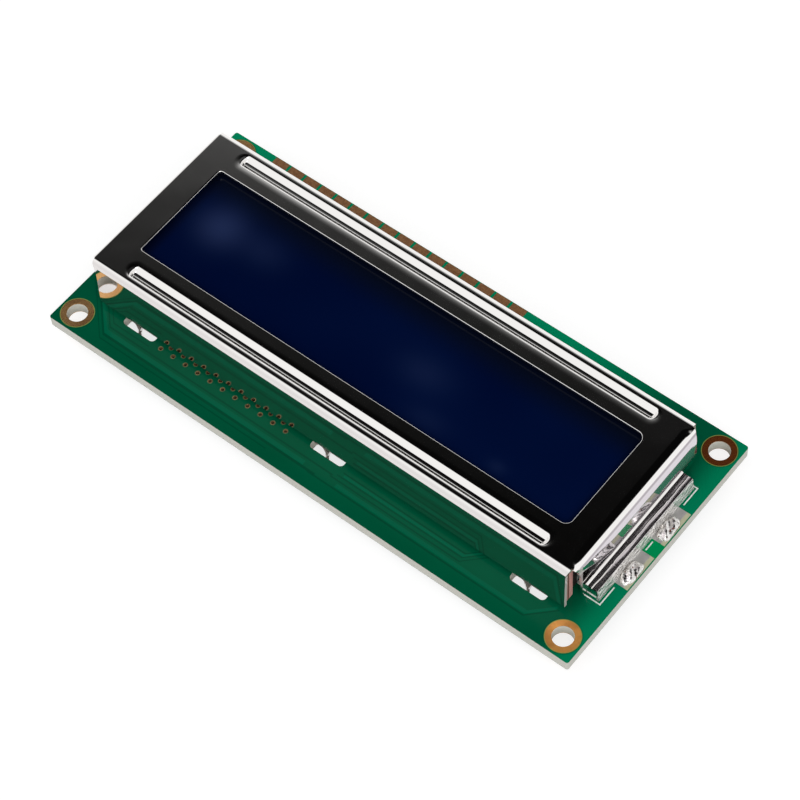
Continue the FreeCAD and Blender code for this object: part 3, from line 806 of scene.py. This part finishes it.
# Display cell: two sheets of glass with a film polarizer on each outer face, sealed round
# the liquid crystal with a resin line. It shows deep blue behind the window.
# Painted reflection: soft lighter patches of blue across the film, for lamps mirrored in it
painted_reflection_patches = ((-27.3, 1.4, 3.1, 2.9, 1.0), (-20.8, 1.7, 3.4, 2.4, 0.32),
                (6.0, -0.5, 3.6, 2.4, 0.3), (20.7, -5.7, 1.2, 0.9, 0.25),
                (10.2, -5.5, 3.0, 1.6, 0.2))
film = Finish("polarizer_film")


def painted_reflection_patch(x, y, width, length, share):
    """A patch of painted reflection: share times a bell curve that fades over width and length."""
    across = film.both(film.less(film.x, x), 1 / width)
    up = film.both(film.less(film.y, y), 1 / length)
    return film.both(step(film.tree, "EXPONENT", film.both(film.square(across, up), -1.0)),
                     share)


painted_reflection = 0.0
for patch in painted_reflection_patches:
    painted_reflection = film.plus(painted_reflection, painted_reflection_patch(*patch))
deep_blue = film.blend(film.rise(film.grain(22.0, detail=1.0), 0.3, 0.7), paint(0, 10, 45),
                       paint(2, 16, 53))
# Painted shade: darker blue towards the back edge, under the bezel's shadow, and along every edge
# of the window
painted_shade_far_blue = film.blend(film.rise(film.y, 2.5, 7.4), deep_blue, paint(6, 12, 28))
painted_shade_edge = film.either(film.rise(film.away(film.y), 6.6, 7.5),
                        film.rise(film.away(film.x), 31.2, 32.4))
painted_shade_edge_blue = film.blend(film.both(painted_shade_edge, 0.6), painted_shade_far_blue, paint(4, 8, 24))
film_tone = film.blend(painted_reflection, painted_shade_edge_blue, paint(30, 42, 78))
polarizer_film = film.coat(Base_Color=film_tone, Roughness=0.14, Specular_IOR_Level=0.06)
dress(polarizer_film, "front_polarizer", "rear_polarizer")


def plain_finish(name, grain_size, first, second, **sockets):
    """A finish whose colour drifts between two tones in grains of that size."""
    finish = Finish(name)
    tone = finish.blend(finish.grain(grain_size), paint(*first), paint(*second))
    return finish.coat(Base_Color=tone, **sockets)


cell_glass = plain_finish("cell_glass", 6.0, (40, 60, 58), (60, 84, 80), Roughness=0.06,
                          IOR=1.5)
dress(cell_glass, "front_glass", "rear_glass")
seal_resin = plain_finish("seal_resin", 0.6, (150, 148, 138), (182, 180, 168), Roughness=0.5)
dress(seal_resin, "cell_seal")
crystal_layer = plain_finish("crystal_layer", 3.0, (8, 14, 60), (14, 24, 78), Roughness=0.2)
dress(crystal_layer, "liquid_crystal")


# Elastomer connectors: strips of pink silicone with a core of thin conductive layers, pressed
# between the board and the glass. They show at the bezel's open front corners.
silicone = Finish("connector_silicone")
silicone.relief(silicone.grain(0.4), 0.02)
connector_silicone = silicone.coat(
    Base_Color=silicone.blend(silicone.grain(1.5), paint(206, 148, 142), paint(224, 168, 160)),
    Roughness=0.55)
dress(connector_silicone, "zebra_sides")
core_layer_pitch = 0.18
core = Finish("connector_core")
layers = core.waves(core.x, core_layer_pitch, 0.3)
connector_core = core.coat(Base_Color=core.blend(layers, paint(84, 50, 40), paint(122, 84, 70)),
                           Roughness=0.5)
dress(connector_core, "zebra_cores")


# Backlight: a white moulded tray with a reflector, an acrylic light guide and a diffuser
# sheet in it, under the display cell. The tray's lamp end is painted dark as painted shade, for
# the shadow inside the bezel's open corner.
tray = Finish("tray_plastic")
tray.relief(tray.grain(0.3), 0.01)
tray_white = tray.blend(tray.grain(4.0), paint(214, 214, 210), paint(226, 226, 222))
painted_shade_lamp_end = tray.rise(tray.x, 33.6, 33.8)
tray_plastic = tray.coat(Base_Color=tray.blend(painted_shade_lamp_end, tray_white, paint(46, 42, 40)),
                         Roughness=0.5)
dress(tray_plastic, "backlight_tray")
light_sheets = plain_finish("light_sheets", 2.0, (216, 218, 218), (228, 230, 230),
                            Roughness=0.6)
dress(light_sheets, "reflector_sheet", "diffuser_sheet")
guide_acrylic = plain_finish("guide_acrylic", 5.0, (206, 218, 216), (220, 228, 226),
                             Roughness=0.08, IOR=1.49)
dress(guide_acrylic, "light_guide")


# Light bar: a narrow white circuit board with four lamps that shine into the light guide. Each
# lamp is a white body with a yellow window.
lamp_window_z = 4.6
lamp_board = plain_finish("lamp_board", 0.8, (206, 208, 200), (222, 222, 214), Roughness=0.45)
dress(lamp_board, "led_board")
lamp = Finish("lamp_body")
lamp_window = lamp.both(lamp.rise(lamp.x, 34.9, 34.8),
                        lamp.rise(lamp.away(lamp.z, lamp_window_z), 0.45, 0.38))
lamp_white = lamp.blend(lamp.grain(0.5), paint(214, 214, 208), paint(226, 226, 220))
lamp_body = lamp.coat(Base_Color=lamp.blend(lamp_window, lamp_white, paint(222, 190, 62)),
                      Roughness=0.4)
dress(lamp_body, "leds")


# Light-bar cover: a strip of thin tinned sheet that is folded over the lamps at the right
# end. Its top has a creased fold along it, and its outer wall ends in the solder joints.
cover_x = 36.12
cover_half_y = 9.43
cover_sheet = 0.12
cover_edge = 0.15
cover_edge_x = 1.58
cover_edge_z = 5.43
cover_lean = 0.13
wall_foot = 3.62
raised_foot = 3.86
terminal_y = (-4.2, 3.1)
terminal_half = 0.66
kink_y = 5.33
kink_reach = 0.35
hair = 0.01


def foot_of(y):
    """Height of the outer wall's foot: on the board, raised over the two terminals."""
    over = np.minimum(np.abs(y - terminal_y[0]), np.abs(y - terminal_y[1])) < terminal_half
    return np.where(over, raised_foot, wall_foot)


def cover_line(y, inset):
    """The cover's cross section at each place y, moved inwards by inset.

    From the bezel it comes down a short slope, runs on nearly flat to a shallow crease, then
    over a rounded edge and down the outer wall, which leans out. The crease drifts outwards
    along the cover with two sine waves and a small kink at a quarter and at three quarters.
    """
    kink = sum(np.exp(-((y - at) / kink_reach) ** 2) * np.sign(y - at) for at in (kink_y, -kink_y))
    drift = 0.017 * y + 0.035 * np.sin(1.0 * y + 2.2) + 0.015 * np.sin(3.1 * y) + 0.05 * kink
    sag = 0.012 * np.sin(0.9 * y + 1.0)
    slope = [(0.0, 5.945 + sag), (0.03, 5.925 + sag), (0.06, 5.90 + sag), (0.36, 5.655),
             (0.39, 5.635), (0.43, 5.622), (0.48, 5.618)]
    crease = [(0.88 + drift, 5.606 + sag), (0.93 + drift, 5.605 + sag),
              (0.95 + drift, 5.603 + sag), (1.03 + drift, 5.535 + sag),
              (1.05 + drift, 5.535 + sag), (1.14 + drift, 5.595 + sag),
              (1.17 + drift, 5.60 + sag), (1.56, 5.58)]
    line = [(x, z - inset) for x, z in slope + crease]
    radius = cover_edge - inset
    line += [(cover_edge_x + radius * math.sin(a), cover_edge_z + radius * math.cos(a))
             for a in np.linspace(0.0, math.pi / 2, 6)]
    line += [(cover_edge_x + radius + cover_lean * (cover_edge_z - z), z)
             for z in (5.38, 5.0, 4.6, 4.2, foot_of(y))]
    across = np.stack([np.broadcast_to(x, y.shape) for x, z in line])
    high = np.stack([np.broadcast_to(z, y.shape) for x, z in line])
    return np.stack([cover_x + across, np.broadcast_to(y, across.shape), high], 2)


beside_terminals = [y + way * (terminal_half + gap) for y in terminal_y for way in (-1, 1)
                    for gap in (-hair, hair)]
cover_run = np.unique(np.concatenate([np.linspace(-cover_half_y, cover_half_y, 110),
                                      beside_terminals]))
cover_shell = Shell()
cover_outer = cover_line(cover_run, 0.0)
cover_inner = cover_line(cover_run, cover_sheet)
cover_shell.grid(np.concatenate([cover_outer, cover_inner[::-1], cover_outer[:1]]))
for end in (0, -1):
    cover_shell.grid(np.stack([cover_outer[:, end], cover_inner[:, end]], 1))
# An end plate closes the cover just inside each end of the strip
for end, way in ((0, 1), (-1, -1)):
    face = cover_outer[:, end] - (hair, 0.0, hair)
    face = np.concatenate([face, [[cover_x, face[0, 1], wall_foot - hair]]])
    back = face + (0.0, way * cover_sheet, 0.0)
    cover_shell.fill(face, [])
    cover_shell.fill(back, [])
    cover_shell.grid(np.stack([np.concatenate([face, face[:1]]),
                               np.concatenate([back, back[:1]])], 1))

foil = Finish("bright_foil")
foil_tone = foil.blend(foil.grain(0.8), paint(232, 228, 224), paint(248, 246, 244))
down_side = foil.both(foil.rise(foil.x, 37.72, 37.80), foil.rise(foil.z, 5.56, 5.50))
crumples = foil.grain(0.8, detail=2.0, stretch=(1.0, 1.0, 2.0))
foil.relief(foil.plus(foil.both(foil.grain(0.5, detail=1.0), 0.012),
                      foil.both(crumples, down_side)), 0.36)
bright_foil = foil.coat(Base_Color=foil_tone,
                        Metallic=foil.rise(down_side, 0.0, 1.0, 1.0, 0.62),
                        Roughness=foil.rise(foil.grain(0.4), 0.3, 0.7, 0.07, 0.12))
cover = cover_shell.finish("light_bar_hood", bright_foil)
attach(cover, "root")
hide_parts("light_bar_cover")


# Pads, leads and chip ends: thin metal that was tinned by dipping, so that it is silvery with
# slow swells. The two large pads dull to olive along the board's edge.
tinned = Finish("tinned_metal")
tinned_tone = tinned.blend(tinned.grain(0.7), paint(196, 194, 190), paint(232, 230, 228))
olive_strip = tinned.both(tinned.rise(tinned.x, 39.2, 39.45), tinned.rise(tinned.z, 3.5, 3.55))
tinned.relief(tinned.grain(1.3, detail=1.0, stretch=(1.0, 0.6, 1.0)), 0.12)
tinned_metal = tinned.coat(
    Base_Color=tinned.blend(olive_strip, tinned_tone, paint(196, 196, 164)),
    Metallic=tinned.rise(olive_strip, 0.0, 1.0, 0.6, 0.1), Roughness=0.3)
dress(tinned_metal, "backlight_pads", "backlight_terminals", "chip_metal_ends", "chip_pads")


# Solder joints: two shiny lumps of solder that hold the lamps' flat leads on the tinned
# pads. They were set by hand with an iron and are uneven, with a little flux left on them.
solder_low = 3.652
solder_top = 4.38
solder_x = 38.92
solder_half_y = 1.95


def solder_lump(y, seed):
    """A lump over its pad: a bulging dome on a rounded oblong, with slow random swells.

    Height is the square root of what is left of one after the third power of the distance
    from the middle, times one less two sine waves with phases from the seed.
    """
    phase = np.random.default_rng(seed).uniform(0, 2 * math.pi, 6)
    out, turn = np.meshgrid(np.linspace(0.0, 1.0, 18) ** 0.7, np.linspace(0, 2 * math.pi, 49),
                            indexing="ij")
    rim_x = np.sign(np.cos(turn)) * np.abs(np.cos(turn)) ** 0.7
    rim_y = np.sign(np.sin(turn)) * np.abs(np.sin(turn)) ** 0.8 * solder_half_y
    wobble = (1 - 0.04 * (1 + np.sin(3 * turn + phase[0]))
              - 0.03 * (1 + np.sin(5 * turn + phase[1])))
    x, lie = out * rim_x * wobble, out * rim_y * wobble
    swell = (1 - 0.24 * (1 + np.sin(3.1 * x + phase[2]) * np.sin(2.3 * lie + phase[3])) / 2
             - 0.18 * (1 + np.sin(5.0 * x + 4.0 * lie + phase[4])) / 2)
    dome = (solder_top - solder_low) * np.sqrt(np.maximum(1 - out ** 3.0, 0.0)) * swell
    return np.stack([solder_x + x, y + lie, solder_low + dome], 2)


solder_shell = Shell()
for y, seed in zip(terminal_y, (8, 3)):
    solder_shell.dome(solder_lump(y, seed), solder_low)
tin = Finish("solder")
tin_tone = tin.blend(tin.rise(tin.grain(0.5), 0.45, 0.6), paint(214, 211, 208),
                     paint(238, 236, 234))
flux = tin.rise(tin.grain(0.45, detail=2.0), 0.64, 0.70)
tin.relief(tin.grain(0.6), 0.10)
solder = tin.coat(Base_Color=tin.blend(flux, tin_tone, paint(110, 54, 38)),
                  Metallic=tin.rise(flux, 0.0, 1.0, 1.0, 0.0),
                  Roughness=tin.rise(tin.grain(0.3), 0.3, 0.7, 0.10, 0.22))
solder_piece = solder_shell.finish("solder_lumps", solder)
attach(solder_piece, "root")
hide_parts("solder_joints")


# Printed outline: a line of white ink, screened on the mask round the light bar. It is thin
# and lets a little green through.
ink = Finish("white_print")
white_print = ink.coat(Base_Color=ink.blend(ink.rise(ink.grain(0.25), 0.3, 0.6),
                                            paint(196, 214, 204), paint(238, 242, 238)),
                       Roughness=0.5)
dress(white_print, "printed_outline")


# Parts on the back: black resistors, tan capacitors and the chips' own silicon, set in rows
# on tinned pads.
resistor_body = plain_finish("resistor_body", 0.5, (20, 20, 22), (38, 38, 40), Roughness=0.35)
dress(resistor_body, "chip_resistors")
capacitor_body = plain_finish("capacitor_body", 0.4, (148, 116, 84), (172, 138, 104),
                              Roughness=0.45)
dress(capacitor_body, "chip_capacitors")
die_silicon = plain_finish("die_silicon", 0.6, (52, 54, 62), (78, 80, 90), Roughness=0.25)
dress(die_silicon, "chip_dies")


# Resin drops: black epoxy that was poured over each of the two chips on the back and set
# as a low dome with an uneven edge.
drop_reach = 7.0
drop_height = 1.5
drop_x = 16.0


def resin_drop(x, seed):
    """A low dome under the board: a flat-topped bulge on a wavy round outline.

    Hanging depth is most of the drop's height times a power of one less the 2.4th power of
    the distance out, and the outline's radius has five slow waves with phases from the seed.
    """
    phase = np.random.default_rng(seed).uniform(0, 2 * math.pi, 5)
    out, turn = np.meshgrid(np.linspace(0.0, 1.0, 30) ** 0.8,
                            np.linspace(0, 2 * math.pi, 97), indexing="ij")
    waves = sum(np.sin((k + 2) * turn + phase[k]) for k in range(5)) / 5
    radius = drop_reach * (0.975 + 0.025 * waves)
    swell = 1 + 0.04 * np.sin(2.2 * out * np.cos(turn) + phase[0]) * out
    depth = drop_height * 0.96 * (1 - out ** 2.4) ** 0.75 * swell
    return np.stack([x + out * radius * np.cos(turn), out * radius * np.sin(turn),
                     board_bottom - np.minimum(depth, drop_height)], 2)


drop_shell = Shell()
for x, seed in ((-drop_x, 21), (drop_x, 34)):
    drop_shell.dome(resin_drop(x, seed), board_bottom)
resin = Finish("black_resin")
resin_tone = resin.blend(resin.grain(1.4), paint(18, 18, 19), paint(34, 34, 35))
resin.relief(resin.plus(resin.grain(2.0, detail=2.0), resin.both(resin.grain(0.12), 0.12)), 0.06)
black_resin = resin.coat(Base_Color=resin_tone,
                         Roughness=resin.rise(resin.grain(1.0), 0.3, 0.7, 0.3, 0.45))
drops = drop_shell.finish("resin_domes", black_resin)
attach(drops, "root")
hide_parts("resin_drops")
